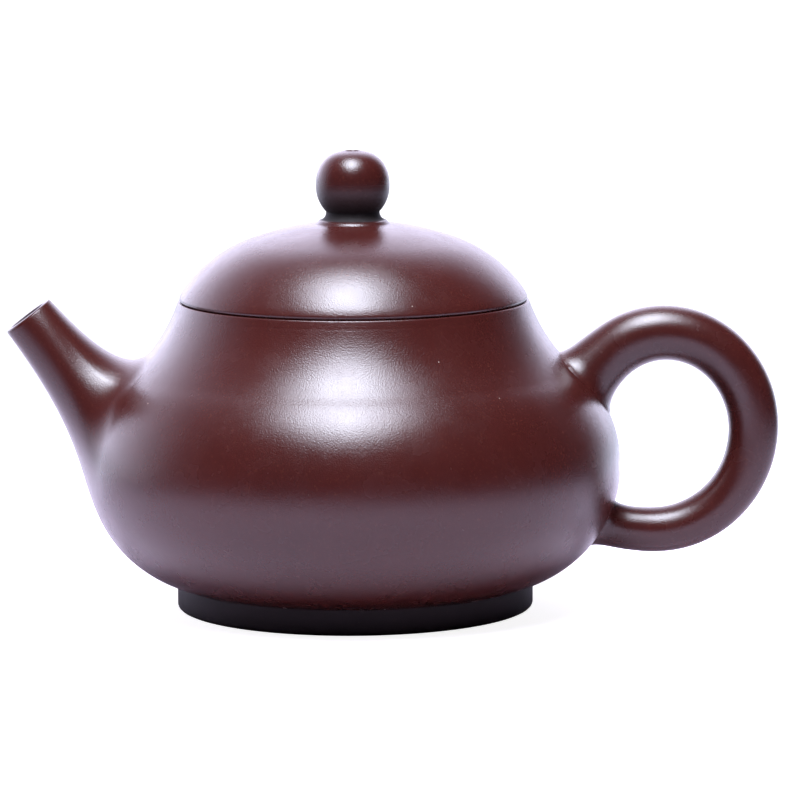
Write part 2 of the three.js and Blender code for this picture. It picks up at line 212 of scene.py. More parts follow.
BURNISHED = {
    "dark": (0.036, 0.0062, 0.0050), "light": (0.046, 0.0085, 0.0068),
    "mineral": (0.085, 0.024, 0.014), "roughness": 0.26, "grain": 0.035, "strokes": 0.002,
}
PLAIN = {
    "dark": (0.050, 0.012, 0.010), "light": (0.065, 0.018, 0.015),
    "mineral": (0.10, 0.04, 0.03), "roughness": 0.62, "grain": 0.03, "strokes": 0.01,
}
# The foot's dark, near-neutral colour is partly its own clay and partly painted shade from the
# shadowed floor under the belly.
FOOT = {
    "dark": (0.017, 0.011, 0.012), "light": (0.022, 0.015, 0.016),
    "mineral": (0.03, 0.02, 0.017), "roughness": 0.6, "grain": 0.03, "strokes": 0.01,
    "specular": 0.15,
}

# ---- Studio, in metres -----------------------------------------------------------------

KEY_PLACE = (-0.05, -0.312, 0.9)
# Each layer of the overhead light: width, depth and radiance.
KEY_LAYERS = ((0.26, 0.38, 6), (0.4, 0.62, 10), (0.55, 0.87, 10), (0.7, 1.1, 4))
KEY_LAYER_GAP = 0.002
KEY_COLOUR = (0.92, 0.965, 1.12)

# The backdrop's brightness depends on direction only. Each FADE is a pair of cosines
# between which one level of it goes over into the next.
BACKDROP_SIDE = (-0.26, 0.966, 0)
BACKDROP_SIDE_FADE = (-0.04, 1.2)
BACKDROP_RADIANCE = 4.8
STUDIO_DARK = 0.03
BACKDROP_MIDDLE = 0.56
BACKDROP_MIDDLE_FADE = (0.0, 0.5)
BACKDROP_UPPER = 0.3
BACKDROP_UPPER_FADE = (0.27, 0.82)
BACKDROP_SWEEP_FADE = (0.15, 0.5)
BACKDROP_SWEEP_TOP_FADE = (0.74, 0.88)
BACKDROP_RIGHT = 0.25
BACKDROP_RIGHT_EDGE = (-0.8, 0.6, 0)
BACKDROP_RIGHT_FADE = (-0.12, 0.06)
BACKDROP_COLOUR = (0.81, 0.80, 1.03)

# Each FADE on the floor is a pair of distances.
FLOOR_SIZE = 8.0
FLOOR_ROUGHNESS = 0.9
# Painted shade: the floor's colour goes from pale near the pot to dark away from it, for what the
# pot reflects.
FLOOR_NEAR = (0.67, 0.59, 0.69, 1)
FLOOR_FAR = (0.1, 0.1, 0.13, 1)
FLOOR_FAR_FADE = (0.12, 0.35)
FLOOR_FILL = 0.88
FLOOR_FILL_FADE = (0.05, 0.5)
FLOOR_FILL_COLOUR = (1, 1, 1, 1)
FLOOR_GLOW = 2.0
FLOOR_GLOW_COLOUR = (0.81, 0.85, 1.05, 1)
FLOOR_GLOW_BACK_FADE = (0.05, 0.2)
FLOOR_GLOW_EDGE = (-1, 1, 0)
FLOOR_GLOW_EDGE_FADE = (-0.09, -0.03)

CAMERA_PLACE = (0.008267, -0.9, 0.16148)
CAMERA_PITCH = 0.1371
CAMERA_ROLL = -0.0055
CAMERA_LENS = 227.0
CAMERA_SENSOR = 36


# ---- Outline ---------------------------------------------------------------------------

class Arc:
    """Arc of the outline, known by its centre, signed radius and normal angles."""

    def __init__(self, r, z, radius):
        self.r, self.z, self.radius = r, z, radius

    def at(self, angle, inset=0.0):
        reach = self.radius - inset
        return np.stack([self.r + reach * np.cos(angle), self.z + reach * np.sin(angle)], -1)

    def angle_at(self, height, inset=0.0):
        return math.asin((height - self.z) / (self.radius - inset))

    def following(self, angle, radius):
        """The arc that carries on from this one at an angle, with the same tangent."""
        r, z = self.at(angle)
        return Arc(r - radius * math.cos(angle), z - radius * math.sin(angle), radius)

    def points(self, start, end, inset=0.0, step=OUTLINE_STEP, marked=False):
        count = max(2, math.ceil(abs((self.radius - inset) * (end - start)) / step) + 1)
        angles = np.linspace(start, end, count)
        if not marked:
            return self.at(angles, inset)
        angles = self.refined(angles, start, end)
        return self.at(angles, tool_depth(self.at(angles)[:, 1]))

    def refined(self, angles, start, end):
        """Adds closely spaced angles round the tool marks that the arc crosses."""
        for height, _, width in TOOL_MARKS:
            low, high = sorted(self.at(np.array([start, end]))[:, 1])
            near = np.arange(height - 4 * width, height + 4 * width, FINE_STEP)
            near = near[(near > low) & (near < high)]
            angles = np.append(angles, [self.angle_at(h) for h in near])
        angles = np.unique(np.round(angles, 6))
        return angles if end > start else angles[::-1]


def tool_depth(heights):
    """Depth of the tool marks at the given heights."""
    return sum(d * np.exp(-((heights - h) / w) ** 2) for h, d, w in TOOL_MARKS)


belly = Arc(BELLY_RADIUS - BELLY_CURVE, BELLY_HEIGHT, BELLY_CURVE)
hollow = belly.following(BELLY_END, -HOLLOW_CURVE)
SEAM_ANGLE = hollow.angle_at(SEAM_HEIGHT)
lid_edge = hollow.following(SEAM_ANGLE, LID_EDGE_CURVE)
lid_side = lid_edge.following(LID_EDGE_END, LID_SIDE_CURVE)
crown = lid_side.following(LID_SIDE_END, LID_SIDE_CURVE + lid_side.r / math.cos(LID_SIDE_END))


def body_radius(height, inset=0.0):
    """Radius of the body at heights below the seam; works on arrays."""
    height = np.asarray(height, float)
    turn = belly.at(BELLY_END, inset)[1]
    low = belly.r + np.sqrt(
        np.maximum(0, (belly.radius - inset) ** 2 - (height - belly.z) ** 2))
    high = hollow.r - np.sqrt(
        np.maximum(0, (hollow.radius - inset) ** 2 - (height - hollow.z) ** 2))
    return np.where(height <= turn, low, high)


def crown_height(radius, inset=0.0):
    return crown.z + math.sqrt((crown.radius - inset) ** 2 - radius ** 2)


def rounded(corners, radii, steps=6):
    """Closed outline through the corners, each rounded with its own radius."""
    corners = [np.array(c, float) for c in corners]
    outline = []
    for i, corner in enumerate(corners):
        before = corners[i - 1] - corner
        after = corners[(i + 1) % len(corners)] - corner
        before /= np.linalg.norm(before)
        after /= np.linalg.norm(after)
        half = math.acos(np.clip(before @ after, -1, 1)) / 2
        radius = radii[i]
        if radius == 0:
            outline.append(corner)
            continue
        reach = radius / math.tan(half)
        middle = before + after
        centre = corner + middle / np.linalg.norm(middle) * radius / math.sin(half)
        first = corner + before * reach - centre
        last = corner + after * reach - centre
        for t in np.linspace(0, 1, steps):
            spoke = first * (1 - t) + last * t
            outline.append(centre + spoke / np.linalg.norm(spoke) * radius)
    return np.array(outline)


# ---- Meshes ----------------------------------------------------------------------------

def clay_piece(name, rings, closed=True):
    """Mesh through rings of points (rings x points x 3, in millimetres).

    The last ring joins the first, or each end is closed with a fan.
    """
    rings = np.asarray(rings, float)
    count, sides = rings.shape[:2]
    points = rings.reshape(-1, 3)
    faces = []
    for i in range(count if closed else count - 1):
        here, there = i * sides, ((i + 1) % count) * sides
        for j in range(sides):
            k = (j + 1) % sides
            faces.append((here + j, here + k, there + k, there + j))
    if not closed:
        for start, flip in ((0, True), ((count - 1) * sides, False)):
            centre = len(points)
            points = np.vstack([points, points[start:start + sides].mean(0)])
            for j in range(sides):
                edge = (start + j, start + (j + 1) % sides)
                faces.append((*(reversed(edge) if flip else edge), centre))
    mesh = bpy.data.meshes.new(name)
    mesh.from_pydata((points * MM).tolist(), [], faces)
    if signed_volume(mesh) < 0:
        mesh.flip_normals()
    shade(mesh)
    piece = bpy.data.objects.new(name, mesh)
    bpy.context.scene.collection.objects.link(piece)
    return piece


def shade(mesh):
    """Shades a mesh smooth, with its sharp edges left sharp."""
    mesh.shade_smooth()
    mesh.set_sharp_from_angle(angle=SHARP_ANGLE)


def signed_volume(mesh):
    mesh.calc_loop_triangles()
    corners = np.empty(len(mesh.vertices) * 3)
    mesh.vertices.foreach_get("co", corners)
    corners = corners.reshape(-1, 3)
    triangles = np.empty(len(mesh.loop_triangles) * 3, int)
    mesh.loop_triangles.foreach_get("vertices", triangles)
    a, b, c = corners[triangles.reshape(-1, 3)].transpose(1, 0, 2)
    return np.einsum("ij,ij->i", a, np.cross(b, c)).sum()


def full_turn(steps):
    return np.linspace(0, 2 * math.pi, steps, endpoint=False)


def turned_rings(outline, steps):
    """Rings about the axis through an outline of radius and height."""
    outline = np.asarray(outline, float)
    turns = full_turn(steps)
    return np.stack([
        outline[:, :1] * np.cos(turns),
        outline[:, :1] * np.sin(turns),
        np.repeat(outline[:, 1:], steps, axis=1),
    ], -1)


def turned(name, outline, steps=TURN_STEPS):
    """Piece turned about the axis from a closed outline of radius and height."""
    return clay_piece(name, turned_rings(outline, steps))


def cut(piece, tool):
    """Cuts a tool mesh out of a piece, and deletes the tool."""
    modifier = piece.modifiers.new("cut", "BOOLEAN")
    modifier.object = tool
    modifier.solver = "MANIFOLD"
    graph = bpy.context.evaluated_depsgraph_get()
    mesh = bpy.data.meshes.new_from_object(piece.evaluated_get(graph))
    piece.modifiers.clear()
    piece.data = mesh
    bpy.data.objects.remove(tool)
    shade(mesh)


def bezier(first, second, third, last, t):
    """Points of a cubic curve; the corners are arrays of points and t a column."""
    t = np.asarray(t)[:, None, None]
    return ((1 - t) ** 3 * first + 3 * t * (1 - t) ** 2 * second
            + 3 * t ** 2 * (1 - t) * third + t ** 3 * last)


# ---- Pot -------------------------------------------------------------------------------

def foot_ring():
    inner = FOOT_RADIUS - FOOT_WIDTH
    corners = ((inner, 0), (FOOT_RADIUS, 0), (FOOT_RADIUS, FOOT_TOP), (inner, FOOT_TOP))
    return turned("foot", rounded(corners, (FOOT_EDGE, FOOT_EDGE, SLIGHT_EDGE, SLIGHT_EDGE)))


def base_disc():
    radius = float(body_radius(BASE_TOP, WALL)) - SLIP
    corners = (
        (NEAR_AXIS, FOOT_TOP), (radius, FOOT_TOP), (radius, BASE_TOP), (NEAR_AXIS, BASE_TOP))
    return turned("base", rounded(corners, (0, SLIGHT_EDGE, BASE_EDGE, 0)))


def belly_wall():
    inside = float(body_radius(BASE_TOP, WALL))
    outline = np.vstack([
        belly.points(belly.angle_at(FOOT_TOP), BELLY_END, marked=True),
        hollow.points(BELLY_END, hollow.angle_at(JOINT_HEIGHT), marked=True)[1:],
        hollow.points(hollow.angle_at(JOINT_HEIGHT, WALL), BELLY_END, WALL, INSIDE_STEP),
        belly.points(BELLY_END, belly.angle_at(BASE_TOP, WALL), WALL, INSIDE_STEP)[1:],
        [(inside, FOOT_TOP)],
    ])
    wall = turned("belly", outline)
    cut(wall, drill("spout_hole", FILTER_RADIUS + SLIP, -2 * WALL, 3 * WALL))
    return wall


def at_filter(points):
    """Moves points made along +Z to the spout's hole, pointing into the pot."""
    angle = belly.angle_at(FILTER_HEIGHT)
    inwards = Vector((math.cos(angle), 0, -math.sin(angle)))
    turn = np.array(Vector((0, 0, 1)).rotation_difference(inwards).to_matrix())
    place = np.array((-float(body_radius(FILTER_HEIGHT)), 0, FILTER_HEIGHT))
    return np.asarray(points) @ turn.T + place


def drill(name, radius, low, high, tilt=0.0, turn=0.0, sides=48, pivot=0.0):
    """Round tool along the axis of the spout's hole, or tilted away from it."""
    turns = full_turn(sides)
    circle = np.stack([radius * np.cos(turns), radius * np.sin(turns), 0 * turns], -1)
    rings = np.stack([circle + (0, 0, low), circle + (0, 0, high)])
    tilted = np.array(Matrix.Rotation(turn, 3, "Z") @ Matrix.Rotation(tilt, 3, "Y"))
    return clay_piece(name, at_filter(rings @ tilted.T + (0, 0, pivot)), closed=False)


def shoulder():
    rim = Arc(0, SEAM_HEIGHT - SHOULDER_RIM_EDGE, SHOULDER_RIM_EDGE)
    rim.r = hollow.r - math.sqrt(
        (HOLLOW_CURVE + SHOULDER_RIM_EDGE) ** 2 - (rim.z - hollow.z) ** 2)
    meet = math.atan2(hollow.z - rim.z, hollow.r - rim.r)
    inside = hollow.at(hollow.angle_at(SEAM_HEIGHT, WALL), WALL)
    return turned("shoulder_clay", np.vstack([
        hollow.points(hollow.angle_at(JOINT_HEIGHT), meet, marked=True),
        rim.points(meet, math.pi / 2, step=FINE_STEP)[1:],
        [inside],
        hollow.points(hollow.angle_at(SEAM_HEIGHT, WALL),
                      hollow.angle_at(JOINT_HEIGHT, WALL), WALL, INSIDE_STEP)[1:],
    ]))


def mouth_ring():
    low, high = MOUTH_LOW, SEAM_HEIGHT
    return turned("mouth_ring_clay", rounded((
        (MOUTH_RADIUS, low),
        (float(body_radius(low, WALL)) - SLIP, low),
        (float(body_radius(high, WALL)) - SLIP, high),
        (MOUTH_RADIUS, high),
    ), (MOUTH_EDGE, MOUTH_EDGE / 2, SLIGHT_EDGE, MOUTH_EDGE)))


def spout_skin(steps, turns, tip_radius, root_top, root_under, root_width, blend,
               top_blend, side_blend):
    """Rings from the spout's rim to a ring that lies against the body."""
    across, aside = np.cos(turns), np.sin(turns)
    rim_up = np.array((math.sin(SPOUT_RIM_TILT), 0, math.cos(SPOUT_RIM_TILT)))
    sideways = np.array((0, 1.0, 0))
    tip = np.array((SPOUT_TIP[0], 0, SPOUT_TIP[1]))

    def root(across, aside):
        height = (root_top + root_under) / 2 + (root_top - root_under) / 2 * across
        y = root_width * aside
        x = -np.sqrt(body_radius(height) ** 2 - y ** 2)
        return np.stack([x, y, height], -1)

    first = tip + tip_radius * (across[:, None] * rim_up + aside[:, None] * sideways)
    upper = (1 + across) / 2
    slope = SPOUT_UNDER_SLOPE + (SPOUT_TOP_SLOPE - SPOUT_UNDER_SLOPE) * upper
    reach = SPOUT_UNDER_REACH + (SPOUT_TOP_REACH - SPOUT_UNDER_REACH) * upper
    widening = SPOUT_SIDE_WIDENING * aside
    second = first + np.stack(
        [reach * np.cos(slope), reach * widening, -reach * np.sin(slope)], -1)
    last = root(across, aside)
    nudged = 1.001
    away = root(across * nudged, aside * nudged) - last
    away /= np.linalg.norm(away, axis=1)[:, None]
    pull = blend + top_blend * np.maximum(0, across) ** 2 + side_blend * aside ** 2
    third = last - away * pull[:, None]
    return bezier(first, second, third, last, np.linspace(0, 1, steps))


def spout():
    turns = full_turn(SPOUT_SIDES)
    outside = spout_skin(SPOUT_STEPS, turns, SPOUT_TIP_RADIUS, SPOUT_ROOT_TOP, SPOUT_ROOT_UNDER,
                         SPOUT_ROOT_WIDTH, SPOUT_ROOT_BLEND, SPOUT_TOP_BLEND,
                         SPOUT_SIDE_BLEND)
    bore = spout_skin(BORE_STEPS, turns, SPOUT_BORE_RADIUS, FILTER_HEIGHT + FILTER_RADIUS,
                      FILTER_HEIGHT - FILTER_RADIUS, FILTER_RADIUS, 0.0, 0.0, 0.0)
    rim = rounded_rim(outside, bore)
    back = lying_on_body(bore[-1], outside[-1], ROOT_STEPS, SPOUT_ROOT_SINK)
    return clay_piece("spout_clay", np.concatenate([outside[::-1][:-1], rim, bore[1:], back]))


def rounded_rim(outside, bore, edge=SPOUT_RIM_EDGE, steps=7):
    """Rings over the flat-cut rim, with both its edges rounded."""
    outer, inner = outside[0], bore[0]
    width = np.linalg.norm(inner - outer, axis=1)[:, None]
    inwards = (inner - outer) / width
    down_outside = unit(outside[1] - outer)
    down_inside = unit(bore[1] - inner)
    rings = []
    for t in np.linspace(0, 1, steps):
        bend = (1 - t) ** 2
        rings.append(outer + down_outside * edge * bend + inwards * edge * t ** 2)
    for t in np.linspace(1, 0, steps):
        bend = (1 - t) ** 2
        rings.append(inner + down_inside * edge * bend - inwards * edge * t ** 2)
    return np.array(rings)


def unit(vectors):
    return vectors / np.linalg.norm(vectors, axis=-1)[..., None]


def lying_on_body(first, last, steps, sink):
    """Rings between two rings, pressed against the body just under its surface."""
    rings = []
    for t in np.linspace(0, 1, steps + 2)[1:-1]:
        ring = first * (1 - t) + last * t
        x = -np.sqrt(body_radius(ring[:, 2], sink) ** 2 - ring[:, 1] ** 2)
        rings.append(np.stack([x, ring[:, 1], ring[:, 2]], -1))
    return np.array(rings)


def spout_filter():
    ball = Arc(0, FILTER_SINK + FILTER_COLLAR, FILTER_RADIUS)
    pole = math.pi / 2 - NEAR_POLE
    outline = np.vstack([
        ball.points(pole, 0, FILTER_SHELL, step=FILTER_STEP),
        [(FILTER_RADIUS - FILTER_SHELL, FILTER_SINK), (FILTER_RADIUS, FILTER_SINK)],
        ball.points(0, pole, step=FILTER_STEP),
    ])
    ball_piece = clay_piece("filter", at_filter(turned_rings(outline, FILTER_SIDES)))
    for row, count in enumerate(FILTER_ROWS):
        for i in range(count):
            cut(ball_piece, drill(
                "strainer_hole", FILTER_HOLE, FILTER_RADIUS - 2 * FILTER_SHELL,
                FILTER_RADIUS + FILTER_SHELL, tilt=row * FILTER_ROW_STEP,
                turn=2 * math.pi * (i + 0.5) / count, sides=HOLE_SIDES,
                pivot=FILTER_SINK + FILTER_COLLAR))
    return ball_piece


def smooth_line(control, per_span):
    """Uniform cubic B-spline that starts and ends on its first and last points."""
    control = np.asarray(control, float)
    padded = np.vstack([
        2 * control[0] - control[1], control, 2 * control[-1] - control[-2]])
    t = np.linspace(0, 1, per_span, endpoint=False)[:, None]
    spans = []
    for a, b, c, d in zip(padded, padded[1:], padded[2:], padded[3:]):
        spans.append(((1 - t) ** 3 * a + (3 * t ** 3 - 6 * t ** 2 + 4) * b
                      + (-3 * t ** 3 + 3 * t ** 2 + 3 * t + 1) * c + t ** 3 * d) / 6)
    return np.vstack([*spans, control[-1:]])


def handle():
    fine = smooth_line(HANDLE_LINE, per_span=60)
    length = np.append(0, np.cumsum(np.linalg.norm(np.diff(fine, axis=0), axis=1)))
    t = np.linspace(0, 1, HANDLE_STEPS)
    line = np.stack([np.interp(t * length[-1], length, fine[:, k]) for k in (0, 1)], -1)
    tangent = unit(np.gradient(line, axis=0))
    outwards = np.stack([-tangent[:, 1], tangent[:, 0]], -1)
    flare = HANDLE_TOP_FLARE * np.maximum(0, 1 - t / HANDLE_FLARE_LENGTH) ** 2
    radius = HANDLE_TOP_RADIUS + (HANDLE_UNDER_RADIUS - HANDLE_TOP_RADIUS) * t + flare
    turns = full_turn(HANDLE_SIDES)
    middle = np.stack([line[:, 0], 0 * t, line[:, 1]], -1)[:, None]
    up = np.stack([outwards[:, 0], 0 * t, outwards[:, 1]], -1)[:, None]
    spokes = np.cos(turns)[:, None] * up + np.sin(turns)[:, None] * np.array((0, 1.0, 0))
    rings = middle + spokes * radius[:, None, None]
    return clay_piece("handle_clay", rings + spokes * luting(rings)[..., None], closed=False)


def luting(points):
    """Extra thickness of the handle where it is smoothed onto the body."""
    radius = np.hypot(points[..., 0], points[..., 1])
    clear = radius - body_radius(points[..., 2])
    near = np.clip(1 - clear / LUTING_REACH, 0, 1)
    return LUTING_PART * LUTING_REACH * (1 - np.sqrt(1 - near ** 2))


# ---- Lid -------------------------------------------------------------------------------

def lid_dome():
    edge = Arc(0, SEAM_HEIGHT + LID_RIM_EDGE, LID_RIM_EDGE)
    edge.r = lid_edge.r + math.sqrt(
        (LID_EDGE_CURVE - LID_RIM_EDGE) ** 2 - (edge.z - lid_edge.z) ** 2)
    meet = math.atan2(edge.z - lid_edge.z, edge.r - lid_edge.r)
    vent_out = math.acos((VENT_RADIUS + VENT_FLARE) / crown.radius)
    vent_in = math.acos(VENT_RADIUS / (crown.radius - WALL))
    return turned("lid_clay", np.vstack([
        edge.points(-math.pi / 2, meet, step=FINE_STEP),
        lid_edge.points(meet, LID_EDGE_END, step=LID_EDGE_STEP)[1:],
        lid_side.points(LID_EDGE_END, LID_SIDE_END)[1:],
        crown.points(LID_SIDE_END, vent_out)[1:],
        crown.points(vent_in, LID_SIDE_END, WALL, INSIDE_STEP),
        lid_side.points(LID_SIDE_END, LID_EDGE_END, WALL, INSIDE_STEP)[1:],
        lid_edge.points(LID_EDGE_END, lid_edge.angle_at(SEAM_HEIGHT, WALL), WALL)[1:],
    ]))


def lid_seat_ring():
    inside = FLANGE_RADIUS - FLANGE_WIDTH

    def edge_radius(height):
        return lid_edge.at(lid_edge.angle_at(height, WALL + SLIP), WALL + SLIP)[0]

    return turned("lid_seat", rounded((
        (inside, SEAM_HEIGHT),
        (edge_radius(SEAM_HEIGHT), SEAM_HEIGHT),
        (edge_radius(SEAT_TOP), SEAT_TOP),
        (inside, SEAT_TOP),
    ), (0, SLIGHT_EDGE, SLIGHT_EDGE, SEAT_EDGE)))


def lid_flange():
    inside = FLANGE_RADIUS - FLANGE_WIDTH
    return turned("flange", rounded((
        (inside, FLANGE_LOW),
        (FLANGE_RADIUS, FLANGE_LOW),
        (FLANGE_RADIUS, SEAM_HEIGHT),
        (inside, SEAM_HEIGHT),
    ), (FLANGE_EDGE, FLANGE_EDGE, 0, 0)))


def knob_radius(height):
    """Half width of the ball; its upper half is a little squarer than round."""
    above = height - KNOB_HEIGHT
    if above <= 0:
        return math.sqrt(KNOB_RADIUS ** 2 - above ** 2)
    return KNOB_RADIUS * (1 - (above / KNOB_CAP) ** KNOB_CAP_POWER) ** (1 / KNOB_CAP_POWER)


def knob():
    bottom_angle = -math.acos(NECK_RADIUS / KNOB_RADIUS)
    bottom = KNOB_HEIGHT + KNOB_RADIUS * math.sin(bottom_angle)
    outline = [(VENT_RADIUS, bottom)]
    for angle in np.linspace(bottom_angle, KNOB_CAP_END, KNOB_STEPS):
        reach = KNOB_RADIUS if angle < 0 else KNOB_CAP
        height = KNOB_HEIGHT + reach * math.sin(angle)
        outline.append((knob_radius(height), height))
    lip = outline[-1]
    for t in np.linspace(0, 1, KNOB_LIP_STEPS)[1:]:
        rise = (KNOB_TOP - lip[1]) * math.sin(t * math.pi / 2)
        outline.append((
            VENT_RADIUS + (lip[0] - VENT_RADIUS) * (1 - t),
            lip[1] + rise - KNOB_LIP_SINK * t ** 4,
        ))
    return turned("knob_clay", outline, SMALL_TURN_STEPS)


def knob_neck():
    """Neck under the knob, on a low ring that is smoothed onto the lid."""
    top = KNOB_HEIGHT - math.sqrt(KNOB_RADIUS ** 2 - NECK_RADIUS ** 2)
    low = crown_height(NECK_BASE_RADIUS)
    t = np.linspace(0, 1, NECK_RING_STEPS)[:, None]
    ring = np.hstack([NECK_BASE_RADIUS - NECK_RING_EDGE * t,
                      low + NECK_BASE_THICKNESS * t ** 2 * (3 - 2 * t)])
    t = np.linspace(0, 1, NECK_STEPS)[1:, None]
    start, bend, end = ring[-1], (NECK_RADIUS, ring[-1, 1] + NECK_FLARE), (NECK_RADIUS, top)
    flare = (1 - t) ** 2 * start + 2 * t * (1 - t) * np.array(bend) + t ** 2 * np.array(end)
    return turned("neck", np.vstack([
        [(VENT_RADIUS, crown_height(VENT_RADIUS, -SLIP)), (NECK_BASE_RADIUS - SLIP, low - SLIP)],
        ring,
        flare,
        [(VENT_RADIUS, top)],
    ]), SMALL_TURN_STEPS)


# ---- Materials -------------------------------------------------------------------------

def node(tree, kind, inputs=None, **settings):
    """Adds a shader node; inputs are values, or sockets to link from."""
    made = tree.nodes.new(kind)
    for key, value in settings.items():
        setattr(made, key, value)
    for key, value in (inputs or {}).items():
        if isinstance(value, bpy.types.NodeSocket):
            tree.links.new(value, made.inputs[key])
        else:
            made.inputs[key].default_value = value
    return made


class Clay:
    """Node material of fired clay, in object coordinates shared by all the pieces."""

    def __init__(self, name):
        self.material = bpy.data.materials.new(name)
        self.material.use_nodes = True
        self.tree = self.material.node_tree
        self.tree.nodes.clear()
        self.place = node(self.tree, "ShaderNodeTexCoord").outputs["Object"]

    def noise(self, size, detail=2.0, stretch=None):
        """Noise with features of a size in millimetres, if wanted drawn out sideways."""
        where = self.place
        if stretch:
            where = node(self.tree, "ShaderNodeVectorMath", {0: where, 1: stretch},
                         operation="MULTIPLY").outputs["Vector"]
        return node(self.tree, "ShaderNodeTexNoise", {
            "Vector": where, "Scale": 1 / (size * MM), "Detail": detail, "Roughness": 0.55,
        }).outputs["Fac"]

    def spread(self, value, low, high, to_low=0.0, to_high=1.0):
        return node(self.tree, "ShaderNodeMapRange", {
            "Value": value, "From Min": low, "From Max": high,
            "To Min": to_low, "To Max": to_high,
        }).outputs["Result"]

    def blend(self, factor, first, second):
        """Mixes two colours, by the colour sockets 6, 7 and 2 of the mix node."""
        def colour(value):
            return value if isinstance(value, bpy.types.NodeSocket) else (*value, 1)
        return node(self.tree, "ShaderNodeMix", {
            "Factor": factor, 6: colour(first), 7: colour(second),
        }, data_type="RGBA").outputs[2]

    def multiply(self, first, second):
        return node(self.tree, "ShaderNodeMath", {0: first, 1: second},
                    operation="MULTIPLY").outputs["Value"]

    def specks(self, spacing, radius, share):
        """Scattered grains: 1 on a grain, 0 elsewhere; share is the part of cells with one."""
        cells = node(self.tree, "ShaderNodeTexVoronoi", {
            "Vector": self.place, "Scale": 1 / (spacing * MM),
        })
        chosen = node(self.tree, "ShaderNodeSeparateColor", {
            "Color": cells.outputs["Color"],
        }).outputs
        size = self.spread(chosen["Green"], 0, 1, 0.5 * radius / spacing, radius / spacing)
        inside = node(self.tree, "ShaderNodeMath", {
            0: cells.outputs["Distance"], 1: size,
        }, operation="LESS_THAN").outputs["Value"]
        picked = node(self.tree, "ShaderNodeMath", {
            0: chosen["Red"], 1: share,
        }, operation="LESS_THAN").outputs["Value"]
        return self.multiply(inside, picked)

    def bump(self, height, depth, under=None):
        """Bumps of a depth in millimetres, on top of other bumps."""
        inputs = {"Height": height, "Strength": 1.0, "Distance": depth * MM}
        if under:
            inputs["Normal"] = under
        return node(self.tree, "ShaderNodeBump", inputs).outputs["Normal"]

    def finish(self, colour, roughness, normal, specular):
        shader = node(self.tree, "ShaderNodeBsdfPrincipled", {
            "Base Color": colour, "Roughness": roughness, "Normal": normal,
            "IOR": 1.5, "Specular IOR Level": specular,
        })
        output = node(self.tree, "ShaderNodeOutputMaterial")
        self.tree.links.new(shader.outputs["BSDF"], output.inputs["Surface"])
        return self.material


def between_heights(clay, shaded_height, full):
    """How far the clay is free of painted shade: 0 at one height, 1 at the other."""
    height = node(clay.tree, "ShaderNodeSeparateXYZ", {"Vector": clay.place}).outputs["Z"]
    return clay.spread(height, shaded_height * MM, full * MM)


def outside_bore(clay):
    """0 in the straight part of the spout's bore, which gets painted shade, and 1 elsewhere."""
    along = (-math.cos(SPOUT_RIM_TILT), 0, math.sin(SPOUT_RIM_TILT))
    tip = (SPOUT_TIP[0] * MM, 0, SPOUT_TIP[1] * MM)
    away = node(clay.tree, "ShaderNodeVectorMath", {0: clay.place, 1: tip},
                operation="SUBTRACT").outputs["Vector"]
    across = node(clay.tree, "ShaderNodeVectorMath", {0: away, 1: along},
                  operation="CROSS_PRODUCT").outputs["Vector"]
    distance = node(clay.tree, "ShaderNodeVectorMath", {0: across},
                    operation="LENGTH").outputs["Value"]
    start, end = (SPOUT_BORE_RADIUS + margin for margin in BORE_PAINTED_SHADE_MARGINS)
    return clay.spread(distance, start * MM, end * MM)


def clay_look(name, dark, light, mineral, roughness, grain, strokes, specular=0.5,
              unshaded_share=None):
    """Zisha clay: clouded, finely grained, with pale and dark mineral grains in it.

    unshaded_share makes the factor by which a part of the clay is free of painted shade; the rest
    gets painted shade, a dark colour and rougher clay.
    """
    clay = Clay(name)
    clouds = clay.spread(clay.noise(CLOUD_SIZE, 4), *NOISE_RANGE)
    tone = clay.blend(clouds, dark, light)
    minerals = clay.spread(clay.noise(MINERAL_SIZE, 2), *MINERAL_RANGE, 0.0, MINERAL_STRENGTH)
    tone = clay.blend(minerals, tone, mineral)
    pale = clay.specks(PALE_SPACING, PALE_RADIUS, PALE_SHARE)
    tone = clay.blend(clay.multiply(pale, SPECK_STRENGTH), tone, PALE_GRAIN)
    pits = clay.specks(PIT_SPACING, PIT_RADIUS, PIT_SHARE)
    tone = clay.blend(clay.multiply(pits, SPECK_STRENGTH), tone, PIT_COLOUR)

    if unshaded_share:
        part = unshaded_share(clay)
        # Painted shade where the factor falls to 0: a dark colour and rougher clay.
        tone = clay.blend(part, PAINTED_SHADE_COLOUR, tone)
        gloss = clay.spread(part, 0, 1, PAINTED_SHADE_ROUGHNESS, roughness)
    else:
        gloss = clay.spread(clay.noise(PATCH_SIZE, 3), *NOISE_RANGE,
                            roughness - PATCH_ROUGHNESS, roughness + PATCH_ROUGHNESS)

    surface = clay.bump(clay.noise(WAVE_SIZE, 2), WAVE_DEPTH)
    surface = clay.bump(clay.noise(STROKE_SIZE, 1, stretch=STROKE_STRETCH), strokes, surface)
    surface = clay.bump(clay.noise(GRAIN_SIZE, 1), grain, surface)
    surface = clay.bump(pits, -PIT_DEPTH, surface)
    return clay.finish(tone, gloss, surface, specular)


# ---- Assembly --------------------------------------------------------------------------

burnished = clay_look("burnished_clay_look", **BURNISHED)
# The knob's lower half, the neck above its ring and the spout's bore get painted shade.
knob_look = clay_look("knob_clay_look", **BURNISHED,
                      unshaded_share=lambda clay: between_heights(clay, *KNOB_PAINTED_SHADE_HEIGHTS))
neck_look = clay_look("neck_clay_look", **BURNISHED,
                      unshaded_share=lambda clay: between_heights(clay, *NECK_PAINTED_SHADE_HEIGHTS))
spout_look = clay_look("spout_clay_look", **BURNISHED, unshaded_share=outside_bore)
plain = clay_look("plain_clay_look", **PLAIN)
foot_look = clay_look("foot_clay_look", **FOOT)

